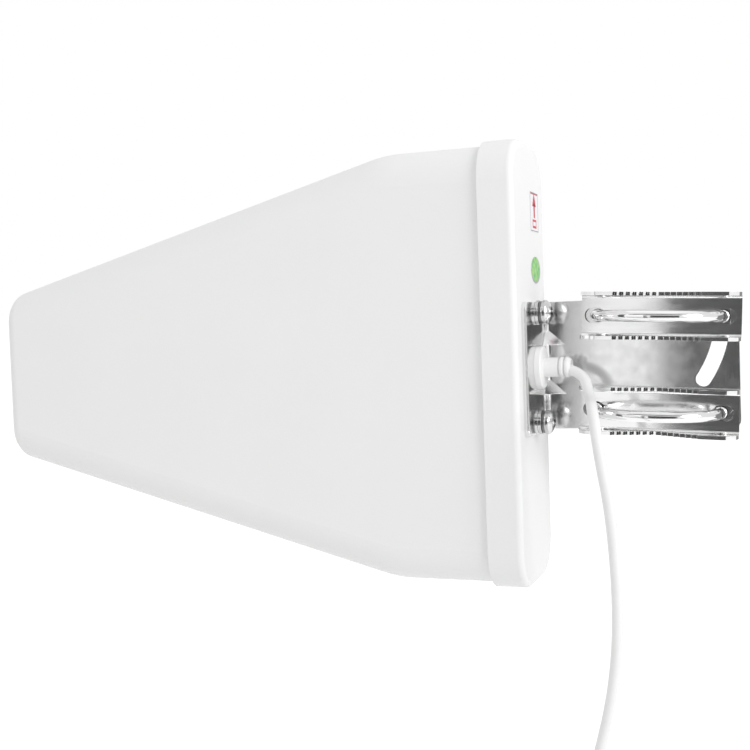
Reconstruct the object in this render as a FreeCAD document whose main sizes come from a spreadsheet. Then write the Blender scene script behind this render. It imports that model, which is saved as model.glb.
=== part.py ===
import FreeCAD, Part
import math
import os
import re

import Sketcher
from FreeCAD import Placement, Rotation, Vector

# Log periodic antenna in a white plastic housing, on a tilting steel bracket with two U-bolts.
# The origin is the axis of the tube that the clamp grips, midway between the U-bolts. +Z is up,
# the antenna points along -X, and the open bows of the U-bolts face -Y.
# The antenna itself is drawn level in a frame of its own, whose origin is the upper left bolt
# that it tilts about, and is then turned nose down as a whole.

ANTENNA_SIZES = {
    "rest_tilt": 2.5,            # degrees nose down as drawn
    "flange_reach": 28.5,        # from the tilt bolt forward to the cap's back face
    "bracket_drop": 24.2,        # from the tilt bolt down to the middle of the bracket
    "housing_drop": 22.3,        # from the tilt bolt down to the middle of the housing
    "cap_height": 213.5,
    "cap_width": 64.0,
    "cap_length": 17.0,
    "cap_corner": 20.0,
    "cap_back": 3.0,             # thickness of the cap's back wall
    "cap_skirt": 2.1,            # thickness of the cap's side walls
    "cap_fit": 0.1,              # gap between the cap's skirt and the shell
    "cap_edge": 3.0,             # rounding of the cap's back edge
    "boss_radius": 6.5,
    "pillar_radius": 4.5,
    "pillar_rise": 14.0,         # of the boom pillars, above and below the centreline
    "seal_thickness": 1.5,
    "shell_wall": 2.2,
    "knee_distance": 67.0,       # where the straight part of the shell ends, from the cap's back
    "knee_radius": 60.0,
    "nose_distance": 288.0,
    "nose_height": 90.0,
    "nose_edge": 7.0,
}

INSIDE_SIZES = {
    "plate_distance": 35.0,      # from the cap's back face to the plate at the booms' rear ends
    "plate_thickness": 3.0,
    "plate_lead_gap": 0.6,       # more room for the lead in the plate than elsewhere
    "plate_height": 40.0,
    "plate_width": 32.0,
    "boom_size": 10.0,
    "boom_wall": 1.2,
    "boom_offset": 9.0,          # of each boom's axis from the centre plane
    "first_dipole": 6.0,         # from the booms' rear ends to the longest dipole
    "last_dipole": 3.1,          # from the shortest dipole to the booms' front ends
    "dipole_length": 186.0,      # of the longest dipole, tip to tip
    "dipole_radius": 2.5,
    "dipole_ratio": 0.845,       # of each dipole to the one behind it
    "spacer_length": 8.0,
    "link_thickness": 1.0,
    "link_width": 28.0,
    "pad_thickness": 2.8,
    "pad_width": 24.0,
    "pad_height": 30.0,
    "plate_screw_radius": 2.0,
    "plate_screw_head": 3.5,
    "plate_screw_head_height": 2.6,
    "plate_screw_length": 12.0,
}

BRACKET_SIZES = {
    "bracket_sheet": 2.5,
    "bracket_height": 63.6,
    "flange_width": 44.6,
    "web_overhang": 7.3,         # of the web past the right bolts
    "bracket_bend": 2.5,         # inner radius of the bend
    "bracket_corner": 4.0,
    "pivot_clearance": 0.08,
    "slot_clearance": 0.4,       # on each side of a bolt, in the arc slots
    "slot_lead": 0.4,            # degrees that a slot runs on above the level bolt
    "upper_slot_sweep": 33.5,
    "lower_slot_sweep": 5.8,     # of the two lower bolts' slots, which the saddle hides
    "flange_screw_rise": 26.5,   # above and below the middle of the bracket
    "flange_hole_radius": 3.3,
    "window_clearance": 0.5,     # round the gland's neck
    "gusset_leg": 10.2,
    "gusset_height": 10.1,
    "gusset_root": 1.0,          # how far a gusset reaches into the sheet
    "upper_gusset_drop": 13.9,   # from the tilt bolt down to the gusset's foot
    "lower_gusset_drop": 38.3,
}

CLAMP_SIZES = {
    "grip_radius": 12.5,         # of the round tube that the clamp is closed on
    "bolt_rise": 23.0,           # of each U-bolt, above and below the origin
    "leg_spacing": 59.0,
    "rod_radius": 2.65,
    "thread_radius": 3.0,
    "plain_leg": 1.15,           # between the bow and the thread of each leg
    "thread_spare": 28.0,        # thread that stands out of a nut, for thicker tubes
    "thread_chamfer": 0.8,
    "thread_clearance": 0.05,
    "saddle_overhang": 8.2,      # of a saddle past its bolt, at each end
    "saddle_shift": 0.6,         # of each saddle's middle to the right of its V and bolts
    "saddle_height": 23.0,
    "saddle_sheet": 1.8,
    "saddle_depth": 12.1,        # of the saddle's flanges, from the front of its web
    "saddle_floor": 2.5,         # from the bottom of the V to the web
    "saddle_bend": 3.2,          # outer radius of the bends
    "saddle_corner": 8.5,
    "vee_half_width": 20.5,
    "tooth_depth": 1.5,
    "teeth_per_side": 7.0,
    "saddle_slot_outset": 1.0,   # of a slot's middle, outside its bolt
    "saddle_slot_length": 10.2,
    "saddle_slot_height": 7.5,
}

HARDWARE_SIZES = {
    "washer_radius": 6.0,
    "washer_thickness": 1.6,
    "washer_clearance": 0.2,
    "spring_radius": 5.5,
    "spring_thickness": 1.6,
    "spring_gap": 1.2,
    "nut_flats": 10.0,
    "nut_height": 5.0,
    "nut_rounding": 5.95,        # radius of the ball that takes off a nut's corners
    "screw_head_radius": 6.0,
    "screw_head_height": 4.5,
    "screw_dome": 8.2,           # radius of the head's dome
    "screw_reach": 2.0,          # shank past the end of its insert
    "recess_width": 1.3,
    "recess_length": 6.4,
    "recess_depth": 2.4,
    "insert_radius": 4.25,
    "insert_length": 10.0,
}

LEAD_SIZES = {
    "lead_radius": 2.5,
    "lead_fit": 0.1,             # gap round the lead in holes
    "exit_run": 18.2,            # straight run from the gland's disc to the first turn
    "inner_run": 17.7,           # from the disc forward, inside the cap, to the first turn
    "boom_entry": 7.0,           # from the plate back to where the lead comes in line with the boom
    "gland_disc_radius": 10.25,
    "gland_disc_thickness": 3.2,
    "gland_disc_bevel": 0.6,
    "gland_neck_radius": 5.95,
    "gland_collar_radius": 7.0,
    "gland_collar_thickness": 1.5,
    "gland_barrel_radius": 4.7,
    "gland_barrel_length": 6.9,
    "rib_radius": 4.95,
    "rib_width": 2.0,
    "rib_bevel": 0.5,
    "rib_groove": 0.6,           # width of the grooves beside the ribs
    "rib_groove_radius": 3.7,
    "gland_tip_length": 1.0,
    "gland_tip_radius": 3.8,
    "gland_mouth": 0.9,          # widening of the bore at the tip
    "gland_flare": 6.0,          # length over which the bore widens
    "ferrule_radius": 3.75,
    "ferrule_length": 12.0,
    "connector_neck_radius": 5.2,
    "connector_neck_length": 5.0,
    "connector_collar_radius": 8.6,
    "connector_collar_length": 6.0,
    "connector_thread_radius": 7.9,
    "connector_thread_length": 14.0,
    "connector_wall": 1.6,
    "insulator_length": 9.0,
    "insulator_step": 4.0,       # length of the insulator's thick foot
    "insulator_nose_radius": 3.8,
    "contact_radius": 1.5,
    "contact_reach": 3.0,        # of the contact past the insulator
    "contact_bore": 0.8,
}

LABEL_SIZES = {
    "label_thickness": 0.2,
    "label_offset": 11.0,        # of both labels, from the centre plane towards the web
    "direction_label_drop": 32.75,   # from the cap's top to the middle of the label
    "direction_label_width": 17.3,
    "direction_label_height": 20.0,
    "round_sticker_gap": 9.1,    # from the bracket's top edge up to the sticker
    "round_sticker_width": 19.3,
    "round_sticker_height": 13.2,
}

DIPOLES = 10
SPACERS = 3

SIZES = {}
for group in (ANTENNA_SIZES, INSIDE_SIZES, BRACKET_SIZES, CLAMP_SIZES,
              HARDWARE_SIZES, LEAD_SIZES, LABEL_SIZES):
    SIZES.update(group)

# Sizes that follow from the others. The stack along Y runs from the saddles' V, where the gripped
# tube lies, through saddle, bracket, washer and nut to the end of the U-bolts' legs.
DERIVED = {
    "vee_depth": "saddle_depth - saddle_floor",
    "vee_side": "sqrt(vee_half_width * vee_half_width + vee_depth * vee_depth)",
    "vee_bottom": "grip_radius * vee_side / vee_half_width",
    "web_face": "vee_bottom + saddle_floor",
    "saddle_front": "web_face - saddle_depth",
    "saddle_back": "web_face + saddle_sheet",
    "bracket_back": "saddle_back + bracket_sheet",
    "spring_seat": "bracket_back + washer_thickness",
    "nut_seat": "spring_seat + spring_thickness",
    "leg_end": "nut_seat + nut_height + thread_spare",
    "bolt_hole": "thread_radius + thread_clearance",
    "bow_centre": "leg_spacing / 2 - rod_radius - grip_radius",
    "thread_start": "bow_centre + plain_leg",
    "saddle_length": "leg_spacing + 2 * saddle_overhang",
    "saddle_slot_spacing": "leg_spacing + 2 * saddle_slot_outset",
    "web_reach": "leg_spacing + web_overhang",
    "middle": "bracket_back - flange_width / 2",
    "cap_face": "-flange_reach",
    "seal_face": "cap_face - cap_back",
    "shell_back": "seal_face - seal_thickness",
    "shell_height": "cap_height - 2 * (cap_skirt + cap_fit)",
    "shell_width": "cap_width - 2 * (cap_skirt + cap_fit)",
    "shell_corner": "cap_corner - cap_skirt - cap_fit",
    "knee_x": "cap_face - knee_distance",
    "nose_x": "cap_face - nose_distance",
    "taper": "atan((shell_height - nose_height) / 2 / (nose_distance - knee_distance)) / 1deg",
    "plate_rear": "cap_face - plate_distance",
    "boom_rear": "plate_rear - plate_thickness",
    "boom_front": "nose_x + shell_wall + pad_thickness + link_thickness",
    "boom_length": "boom_rear - boom_front",
    "apex_distance": "(boom_length - first_dipole - last_dipole) / (1 - dipole_ratio^%d)" % (DIPOLES - 1),
    "boom_bore": "boom_size - 2 * boom_wall",
    "flange_back": "cap_face + bracket_sheet",
    "head_seat": "flange_back + washer_thickness + spring_thickness",
    "insert_end": "cap_face - insert_length",
    "lead_bore": "lead_radius + lead_fit",
    "disc_face": "flange_back + gland_disc_thickness",
    "barrel_end": "disc_face + gland_barrel_length",
    "first_rib": "barrel_end + rib_groove",
    "second_rib": "first_rib + rib_width + rib_groove",
    "gland_end": "second_rib + rib_width + gland_tip_length",
}

doc = FreeCAD.newDocument("LogPeriodicAntenna")
sheet = doc.addObject("Spreadsheet::Sheet", "Sizes")
for row, (name, number) in enumerate(SIZES.items(), 1):
    sheet.set("A%d" % row, name)
    sheet.set("B%d" % row, str(number))
    sheet.setAlias("B%d" % row, name)

ALONG_X = Rotation(Vector(0, 1, 0), 90)
AGAINST_X = Rotation(Vector(0, 1, 0), -90)
ALONG_Y = Rotation(Vector(1, 0, 0), -90)
MARGIN = "1"                     # how far a cutter stands out of what it cuts
nodes = []


def spelled(formula):
    """A formula in which each name says where it is kept."""
    def keeper(match):
        word = match.group(0)
        if word in SIZES:
            return "Sizes." + word
        if word in DERIVED:
            return "Derived." + word
        return word
    return re.sub(r"[a-z_]+", keeper, str(formula))


def bind(item, **formulas):
    for name, formula in formulas.items():
        item.setExpression(name, spelled(formula))
    return item


def put(item, x="0", y="0", z="0", turn=None):
    """Place an item at bound coordinates, after a turn about the origin."""
    if turn is not None:
        item.Placement = Placement(Vector(), turn)
    for axis, formula in zip("xyz", (x, y, z)):
        item.setExpression("Placement.Base." + axis, spelled(formula))
    return item


derived = doc.addObject("App::VarSet", "Derived")
for name in DERIVED:
    derived.addProperty("App::PropertyFloat", name)
for name, formula in DERIVED.items():
    derived.setExpression(name, spelled(formula))
doc.recompute()


def size(name):
    """The number in a cell or of a derived size."""
    if name in SIZES:
        return float(sheet.get(name))
    return float(getattr(derived, name))


def primitive(kind, name, place=("0", "0", "0"), turn=None, **formulas):
    item = doc.addObject("Part::" + kind, name)
    bind(item, **formulas)
    return put(item, *place, turn=turn)


def box(name, x, y, z):
    """A block between two bounds on each axis."""
    spans = {side: "(%s) - (%s)" % (high, low)
             for side, (low, high) in zip(("Length", "Width", "Height"), (x, y, z))}
    return primitive("Box", name, (x[0], y[0], z[0]), **spans)


def cylinder(name, radius, length, place=("0", "0", "0"), turn=None):
    return primitive("Cylinder", name, place, turn, Radius=radius, Height=length)


def fuse(name, pieces):
    item = doc.addObject("Part::MultiFuse", name)
    item.Shapes = pieces
    return item


def cut(name, base, tools):
    item = doc.addObject("Part::Cut", name)
    item.Base = base
    item.Tool = tools[0] if len(tools) == 1 else fuse(name + "_cutters", tools)
    return item


def common(name, base, tool):
    item = doc.addObject("Part::Common", name)
    item.Base = base
    item.Tool = tool
    return item


def together(name, solids):
    """Like pieces that share one node as separate solids."""
    item = doc.addObject("Part::Compound", name)
    item.Links = solids
    return item


def keep(item, label):
    """Make an item one of the pieces that are written out."""
    item.Label = label
    nodes.append(item)
    return item


def keep_on_antenna(item, label):
    """Tilt a piece of the antenna about the upper left bolt and write it out."""
    item.Placement = Placement(Vector(), Rotation(Vector(0, -1, 0), 1))
    put(item, "-leg_spacing / 2", "0", "bolt_rise")
    item.setExpression("Placement.Rotation.Angle", spelled("rest_tilt"))
    return keep(item, label)


def outline(owner, plane, corners, offset=("0", "0", "0")):
    """A closed outline of straight sides with bound corners, on a plane of the body's own."""
    datum = next(item for item in owner.Origin.OriginFeatures if item.Role == plane)
    sketch = owner.newObject("Sketcher::SketchObject", owner.Name + "_outline")
    sketch.AttachmentSupport = [(datum, "")]
    sketch.MapMode = "FlatFace"
    for axis, formula in zip("xyz", offset):
        sketch.setExpression("AttachmentOffset.Base." + axis, spelled(formula))
    step = 2 * math.pi / len(corners)
    ring = [Vector(10 * math.cos(step * n), 10 * math.sin(step * n), 0) for n in range(len(corners))]
    for number, start in enumerate(ring):
        sketch.addGeometry(Part.LineSegment(start, ring[(number + 1) % len(ring)]), False)
    for number in range(len(ring)):
        sketch.addConstraint(Sketcher.Constraint("Coincident", number, 2, (number + 1) % len(ring), 1))
    for number, (start, corner) in enumerate(zip(ring, corners)):
        for kind, first, formula in zip(("DistanceX", "DistanceY"), start, corner):
            index = sketch.addConstraint(Sketcher.Constraint(kind, number, 1, first))
            sketch.setExpression("Constraints[%d]" % index, spelled(formula))
    return sketch


def rectangle(width, height, middle_x="0", middle_y="0"):
    """Corners of an upright rectangle about a middle point."""
    return [("%s + (%s) * %s / 2" % (middle_x, width, right),
             "%s + (%s) * %s / 2" % (middle_y, height, up))
            for right, up in (("-1", "-1"), ("1", "-1"), ("1", "1"), ("-1", "1"))]


def pad(owner, sketch, length, both_ways=False):
    item = owner.newObject("PartDesign::Pad", owner.Name + "_pad")
    item.Profile = sketch
    item.Midplane = both_ways
    return bind(item, Length=length)


def revolve(owner, sketch, axis):
    item = owner.newObject("PartDesign::Revolution", owner.Name + "_turned")
    item.Profile = sketch
    item.ReferenceAxis = (sketch, [axis])
    item.Angle = 360
    return item


def round_edges(owner, radius, chosen):
    """Round those edges of the body so far that chosen picks, by their middle and direction."""
    doc.recompute()
    base = owner.Tip
    names = []
    for number, edge in enumerate(base.Shape.Edges, 1):
        at = edge.valueAt((edge.FirstParameter + edge.LastParameter) / 2)
        along = edge.tangentAt((edge.FirstParameter + edge.LastParameter) / 2)
        if chosen(at, along):
            names.append("Edge%d" % number)
    item = owner.newObject("PartDesign::Fillet", owner.Name + "_rounding")
    item.Base = (base, names)
    return bind(item, Radius=radius)


def near(value, target):
    return abs(value - target) < 0.01


def body(name):
    return doc.addObject("PartDesign::Body", name)


def rounded_bar(name, front, back, height, width, corner):
    """A bar along the antenna's axis with a rounded section, centred on the housing."""
    bar = body(name)
    corners = rectangle(width, height, "middle", "-housing_drop")
    pad(bar, outline(bar, "YZ_Plane", corners, ("0", "0", front)), "(%s) - (%s)" % (back, front))
    round_edges(bar, corner, lambda at, along: near(abs(along.x), 1))
    return bar


def tapered_body(name, back, knee, nose, half_height, nose_half_height, width, inset):
    """The housing's form: straight at the back, then tapering to a blunt nose."""
    form = body(name)
    side = [(back, "-(%s)" % half_height), (back, half_height), (knee, half_height),
            (nose, nose_half_height), (nose, "-(%s)" % nose_half_height), (knee, "-(%s)" % half_height)]
    pad(form, outline(form, "XZ_Plane", side, ("0", "-housing_drop", "-middle")), width, True)
    doc.recompute()
    bounds = form.Shape.BoundBox

    def at_knee(at, along):
        return near(abs(along.y), 1) and bounds.XMin + 1 < at.x < bounds.XMax - 1

    def lengthwise(at, along):
        on_side = near(at.y, bounds.YMin) or near(at.y, bounds.YMax)
        return on_side and bounds.XMin + 0.01 < at.x < bounds.XMax - 0.01

    def at_nose(at, along):
        return near(at.x, bounds.XMin)

    round_edges(form, "knee_radius - (%s)" % inset, at_knee)
    round_edges(form, "shell_corner - (%s)" % inset, lengthwise)
    round_edges(form, "nose_edge - (%s)" % inset, at_nose)
    return form


# Housing: a tapered shell, a cap over its rear edge, and the seal between them.

outside = tapered_body("shell_outside", "shell_back", "knee_x", "nose_x",
                       "shell_height / 2", "nose_height / 2", "shell_width", "0")
inside = tapered_body("shell_inside", "shell_back + " + MARGIN, "knee_x + shell_wall * tan(taper / 2)",
                      "nose_x + shell_wall", "shell_height / 2 - shell_wall",
                      "nose_height / 2 + shell_wall * (tan(taper) - 1 / cos(taper))",
                      "shell_width - 2 * shell_wall", "shell_wall")
keep_on_antenna(cut("radome_shell", outside, [inside]), "radome_shell")


def on_centreline(name, radius, front, back, rise="0", drop="housing_drop"):
    """A cylinder along the antenna's axis, in its centre plane, between two places on the axis."""
    place = (front, "middle", "%s - %s" % (rise, drop))
    return cylinder(name, radius, "(%s) - (%s)" % (back, front), place, ALONG_X)


def rear_cap():
    block = rounded_bar("cap_block", "cap_face - cap_length", "cap_face",
                        "cap_height", "cap_width", "cap_corner")
    doc.recompute()
    back = block.Shape.BoundBox.XMax
    round_edges(block, "cap_edge", lambda at, along: near(at.x, back))
    hollow = rounded_bar("cap_hollow", "cap_face - cap_length - " + MARGIN, "seal_face",
                         "cap_height - 2 * cap_skirt", "cap_width - 2 * cap_skirt",
                         "cap_corner - cap_skirt")
    pieces = [cut("cap_walls", block, [hollow])]
    holes = [on_centreline("cap_gland_hole", "gland_neck_radius + cap_fit / 2",
                           "seal_face - " + MARGIN, "cap_face + " + MARGIN, "0", "bracket_drop")]
    for side, sign in (("upper", "1"), ("lower", "-1")):
        screw = sign + " * flange_screw_rise"
        pillar = sign + " * pillar_rise"
        pieces.append(on_centreline(side + "_boss", "boss_radius", "insert_end", "seal_face",
                                    screw, "bracket_drop"))
        pieces.append(on_centreline(side + "_pillar", "pillar_radius", "plate_rear", "seal_face", pillar))
        holes.append(on_centreline(side + "_insert_seat", "insert_radius", "insert_end - " + MARGIN,
                                   "cap_face + " + MARGIN, screw, "bracket_drop"))
        holes.append(on_centreline(side + "_pillar_hole", "plate_screw_radius + thread_clearance",
                                   "plate_rear - " + MARGIN, "plate_rear + plate_screw_length", pillar))
    return cut("cap", fuse("cap_with_bosses", pieces), holes)


keep_on_antenna(rear_cap(), "rear_cap")

seal_rim = rounded_bar("seal_rim", "shell_back", "seal_face", "shell_height", "shell_width", "shell_corner")
seal_hollow = rounded_bar("seal_hollow", "shell_back - " + MARGIN, "seal_face + " + MARGIN,
                          "shell_height - 2 * shell_wall", "shell_width - 2 * shell_wall",
                          "shell_corner - shell_wall")
keep_on_antenna(cut("seal", seal_rim, [seal_hollow]), "cap_seal")


# Antenna proper: two booms side by side carry the dipoles, whose halves change sides from one
# dipole to the next. A plate shorts the booms at the back and fastens them to the cap's pillars.

def boom(side, sign):
    centre = "middle + %s * boom_offset" % sign
    span = ("boom_front", "boom_rear")

    def about(middle_of_span, width):
        return ("%s - (%s) / 2" % (middle_of_span, width), "%s + (%s) / 2" % (middle_of_span, width))

    bar = box(side + "_bar", span, about(centre, "boom_size"), about("-housing_drop", "boom_size"))
    bore = box(side + "_bore", ("boom_front - " + MARGIN, "boom_rear + " + MARGIN),
               about(centre, "boom_bore"), about("-housing_drop", "boom_bore"))
    return cut(side + "_tube", bar, [bore])


keep_on_antenna(boom("near", "-1"), "near_boom")
keep_on_antenna(boom("far", "1"), "far_boom")

for number in range(DIPOLES):
    shrunk = "dipole_ratio^%d" % number
    x = "boom_rear - first_dipole - apex_distance * (1 - %s)" % shrunk
    length = "dipole_length / 2 * %s - boom_size / 2" % shrunk
    near_goes_up = number % 2 == 0
    halves = []
    for sign, goes_up in (("-1", near_goes_up), ("1", not near_goes_up)):
        foot = "boom_size / 2 - housing_drop" if goes_up else "-(%s) - boom_size / 2 - housing_drop" % length
        halves.append(cylinder("dipole_half", "dipole_radius", length,
                               (x, "middle + %s * boom_offset" % sign, foot)))
    label = "dipole_%02d" % (number + 1)
    keep_on_antenna(together(label, halves), label)

plate = box("short_blank", ("boom_rear", "plate_rear"),
            ("middle - plate_width / 2", "middle + plate_width / 2"),
            ("-housing_drop - plate_height / 2", "-housing_drop + plate_height / 2"))
plate_holes = [cylinder("plate_lead_hole", "lead_bore + plate_lead_gap", "plate_thickness + 2 * " + MARGIN,
                        ("boom_rear - " + MARGIN, "middle + boom_offset", "-housing_drop"), ALONG_X)]
for sign in ("1", "-1"):
    plate_holes.append(on_centreline("plate_screw_hole", "plate_screw_radius + washer_clearance",
                                     "boom_rear - " + MARGIN, "plate_rear + " + MARGIN,
                                     sign + " * pillar_rise"))
keep_on_antenna(cut("short_plate", plate, plate_holes), "rear_short_plate")

plate_screws = []
for sign in ("1", "-1"):
    head = cylinder("plate_screw_cap", "plate_screw_head", "plate_screw_head_height")
    shank = cylinder("plate_screw_shank", "plate_screw_radius", "plate_screw_length",
                     ("0", "0", "-plate_screw_length"))
    screw = fuse("plate_screw", [head, shank])
    plate_screws.append(put(screw, "boom_rear", "middle", sign + " * pillar_rise - housing_drop", AGAINST_X))
keep_on_antenna(together("plate_screws", plate_screws), "boom_plate_screws")

spacers = []
for number in range(SPACERS):
    start = "boom_front + (boom_length - spacer_length) * %d / %d" % (2 * number + 1, 2 * SPACERS)
    spacers.append(box("spacer", (start, start + " + spacer_length"),
                       ("middle - boom_offset + boom_size / 2", "middle + boom_offset - boom_size / 2"),
                       ("-housing_drop - boom_size / 2", "-housing_drop + boom_size / 2")))
keep_on_antenna(together("spacers", spacers), "boom_spacers")

link = box("link", ("boom_front - link_thickness", "boom_front"),
           ("middle - link_width / 2", "middle + link_width / 2"),
           ("-housing_drop - boom_size / 2", "-housing_drop + boom_size / 2"))
keep_on_antenna(together("link_in_place", [link]), "feed_link")

nose = box("pad", ("nose_x + shell_wall", "boom_front - link_thickness"),
           ("middle - pad_width / 2", "middle + pad_width / 2"),
           ("-housing_drop - pad_height / 2", "-housing_drop + pad_height / 2"))
keep_on_antenna(together("pad_in_place", [nose]), "nose_pad")

inserts = []
for sign in ("1", "-1"):
    rise = sign + " * flange_screw_rise"
    outer = on_centreline("insert_outside", "insert_radius", "insert_end", "cap_face", rise, "bracket_drop")
    bore = on_centreline("insert_bore", "bolt_hole", "insert_end - " + MARGIN, "cap_face + " + MARGIN,
                         rise, "bracket_drop")
    inserts.append(cut("insert", outer, [bore]))
keep_on_antenna(together("inserts", inserts), "threaded_inserts")


# Cable gland: a collar inside the cap, a neck through cap and flange, a disc on the flange, a
# barrel and a ribbed tip.

def cable_gland():
    gland = body("gland")
    bore = "lead_bore"
    profile = [
        ("seal_face - gland_collar_thickness", bore),
        ("seal_face - gland_collar_thickness", "gland_collar_radius"),
        ("seal_face", "gland_collar_radius"),
        ("seal_face", "gland_neck_radius"),
        ("flange_back", "gland_neck_radius"),
        ("flange_back", "gland_disc_radius"),
        ("disc_face - gland_disc_bevel", "gland_disc_radius"),
        ("disc_face", "gland_disc_radius - gland_disc_bevel"),
        ("disc_face", "gland_barrel_radius"),
        ("barrel_end", "gland_barrel_radius"),
        ("barrel_end", "rib_groove_radius"),
    ]
    for start in ("first_rib", "second_rib"):
        profile += [
            (start, "rib_groove_radius"),
            (start, "rib_radius - rib_bevel"),
            (start + " + rib_bevel", "rib_radius"),
            (start + " + rib_width - rib_bevel", "rib_radius"),
            (start + " + rib_width", "rib_radius - rib_bevel"),
        ]
        if start == "first_rib":
            profile.append((start + " + rib_width", "rib_groove_radius"))
    profile += [
        ("gland_end", "gland_tip_radius"),
        ("gland_end", bore + " + gland_mouth"),
        ("gland_end - gland_flare", bore),
    ]
    revolve(gland, outline(gland, "XZ_Plane", profile, ("0", "-bracket_drop", "-middle")), "H_Axis")
    return gland


keep_on_antenna(cable_gland(), "cable_gland")


# Labels on the back of the cap.

label_span = ("cap_face", "cap_face + label_thickness")
direction = box("direction", label_span,
                ("middle + label_offset - direction_label_width / 2",
                 "middle + label_offset + direction_label_width / 2"),
                ("cap_height / 2 - direction_label_drop - housing_drop - direction_label_height / 2",
                 "cap_height / 2 - direction_label_drop - housing_drop + direction_label_height / 2"))
keep_on_antenna(together("direction_in_place", [direction]), "direction_label")

oval = doc.addObject("Part::Ellipse", "oval")
bind(oval, MajorRadius="round_sticker_width / 2", MinorRadius="round_sticker_height / 2")
put(oval, "cap_face", "middle + label_offset",
    "bracket_height / 2 - bracket_drop + round_sticker_gap + round_sticker_height / 2",
    Rotation(Vector(0, 1, 0), Vector(0, 0, 1), Vector(1, 0, 0), "XYZ"))
sticker = doc.addObject("Part::Extrusion", "sticker")
sticker.Base = oval
sticker.DirMode = "Custom"
sticker.Dir = Vector(1, 0, 0)
sticker.Solid = True
bind(sticker, LengthFwd="label_thickness")
keep_on_antenna(sticker, "round_sticker")


# Bracket: a bent plate. Its flange is screwed to the cap and its web lies on the saddles.
# The web turns about the upper left bolt, so the slots of the other three bolts are arcs about it.

def arc_slot(name, radius, start, sweep):
    """Cutter for a bolt's arc slot; angles run down from the X axis."""
    half = "(thread_radius + slot_clearance)"
    depth = "bracket_sheet + 2 * " + MARGIN
    place = ("0", "saddle_back - " + MARGIN, "0")
    turn = ALONG_Y.multiply(Rotation(Vector(0, 0, 1), start))
    ring = primitive("Cylinder", name + "_ring", place, turn,
                     Radius="%s + %s" % (radius, half), Height=depth, Angle=sweep)
    core = cylinder(name + "_core", "%s - %s" % (radius, half), depth, place, turn)
    pieces = [cut(name + "_sector", ring, [core])]
    for angle in ("%f" % start, "%f + %s" % (start, sweep)):
        end = ("%s * cos(%s)" % (radius, angle), "saddle_back - " + MARGIN,
               "-%s * sin(%s)" % (radius, angle))
        pieces.append(cylinder(name + "_end", half, depth, end, ALONG_Y))
    return fuse(name, pieces)


def gusset(name, foot):
    """A three-sided stiffener pressed into the bend, with its point up."""
    root = size("gusset_root")
    leg = size("gusset_leg") + root
    x = size("flange_back") - root
    y = size("saddle_back") + root
    corner = Vector(x, y, foot)
    flange_side = Vector(x, y - leg, foot)
    web_side = Vector(x + leg, y, foot)
    top = Vector(x, y, foot + size("gusset_height"))
    faces = [Part.Face(Part.makePolygon(list(ring) + [ring[0]]))
             for ring in ((corner, flange_side, web_side), (corner, flange_side, top),
                          (corner, web_side, top), (flange_side, web_side, top))]
    item = doc.addObject("Part::Feature", name)
    item.Shape = Part.makeSolid(Part.makeShell(faces))
    return item


def mounting_bracket():
    sheet_body = body("bracket_sheet_body")
    free_edge = "bracket_back - flange_width"
    profile = [("cap_face", free_edge), ("flange_back", free_edge), ("flange_back", "saddle_back"),
               ("web_reach", "saddle_back"), ("web_reach", "bracket_back"), ("cap_face", "bracket_back")]
    foot = "-bracket_drop - bracket_height / 2"
    pad(sheet_body, outline(sheet_body, "XY_Plane", profile, ("0", "0", foot)), "bracket_height")

    def upright_at(x, y):
        return lambda at, along: near(abs(along.z), 1) and near(at.x, x) and near(at.y, y)

    round_edges(sheet_body, "bracket_bend", upright_at(size("flange_back"), size("saddle_back")))
    round_edges(sheet_body, "bracket_bend + bracket_sheet",
                upright_at(size("cap_face"), size("bracket_back")))
    free_y = size("bracket_back") - size("flange_width")
    round_edges(sheet_body, "bracket_corner",
                lambda at, along: near(abs(along.x), 1) and near(at.y, free_y))
    round_edges(sheet_body, "bracket_corner",
                lambda at, along: near(abs(along.y), 1) and near(at.x, size("web_reach")))
    solids = [sheet_body, gusset("upper_gusset", -size("upper_gusset_drop")),
              gusset("lower_gusset", -size("lower_gusset_drop"))]
    lead = -size("slot_lead")
    diagonal = "sqrt(leg_spacing * leg_spacing + 4 * bolt_rise * bolt_rise)"
    diagonal_angle = math.degrees(math.atan2(2 * size("bolt_rise"), size("leg_spacing")))
    cutters = [
        cylinder("pivot_hole", "thread_radius + pivot_clearance", "bracket_sheet + 2 * " + MARGIN,
                 ("0", "saddle_back - " + MARGIN, "0"), ALONG_Y),
        arc_slot("upper_slot", "leg_spacing", lead, "upper_slot_sweep"),
        arc_slot("lower_left_slot", "2 * bolt_rise", 90 + lead, "lower_slot_sweep"),
        arc_slot("lower_right_slot", diagonal, diagonal_angle + lead, "lower_slot_sweep"),
        on_centreline("gland_window", "gland_neck_radius + window_clearance", "cap_face - " + MARGIN,
                      "flange_back + " + MARGIN, "0", "bracket_drop"),
    ]
    for sign in ("1", "-1"):
        cutters.append(on_centreline("flange_hole", "flange_hole_radius", "cap_face - " + MARGIN,
                                     "flange_back + " + MARGIN, sign + " * flange_screw_rise",
                                     "bracket_drop"))
    return cut("bracket", fuse("bracket_solid", solids), cutters)


keep_on_antenna(mounting_bracket(), "mounting_bracket")


# Fasteners. Each is drawn along Z and then laid in its direction.

def washer():
    disc = cylinder("washer_disc", "washer_radius", "washer_thickness")
    bore = cylinder("washer_bore", "thread_radius + washer_clearance", "washer_thickness + 2 * " + MARGIN,
                    ("0", "0", "-" + MARGIN))
    return cut("washer", disc, [bore])


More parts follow.
